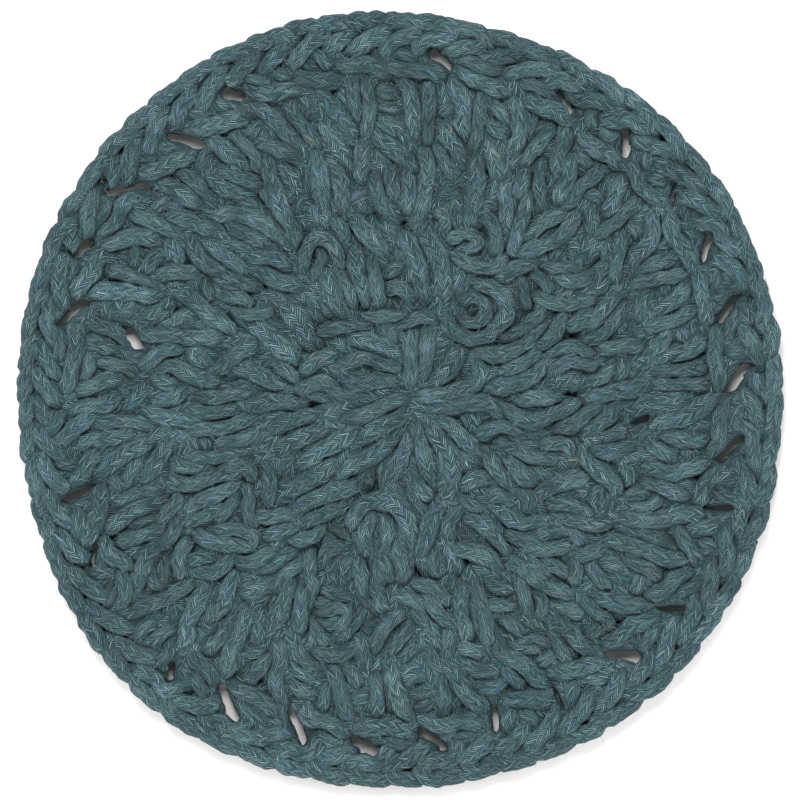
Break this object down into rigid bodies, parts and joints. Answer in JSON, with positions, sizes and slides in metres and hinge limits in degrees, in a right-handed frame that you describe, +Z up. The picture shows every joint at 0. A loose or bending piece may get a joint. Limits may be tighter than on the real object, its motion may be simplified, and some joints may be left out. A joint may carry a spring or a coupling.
{
  "type": "crocheted trivet",
  "caption": "Flat round trivet crocheted from thick cotton cord, with a chain-stitch rim and small slits between stitches, for standing hot pots on.",
  "frame": {"origin": "centre of the mat's underside, midway between its outermost points, on the table", "axes": "+Z up through the mat's thickness, +Y towards the top of the picture, +X to its right"},
  "size_m": [0.2018, 0.2046, 0.012],
  "materials": {
    "cotton_cord": "matt heathered dark teal-grey cotton cord"
  },
  "bodies": {
    "root": {"mat": "cotton_cord"}
  },
  "joints": []
}
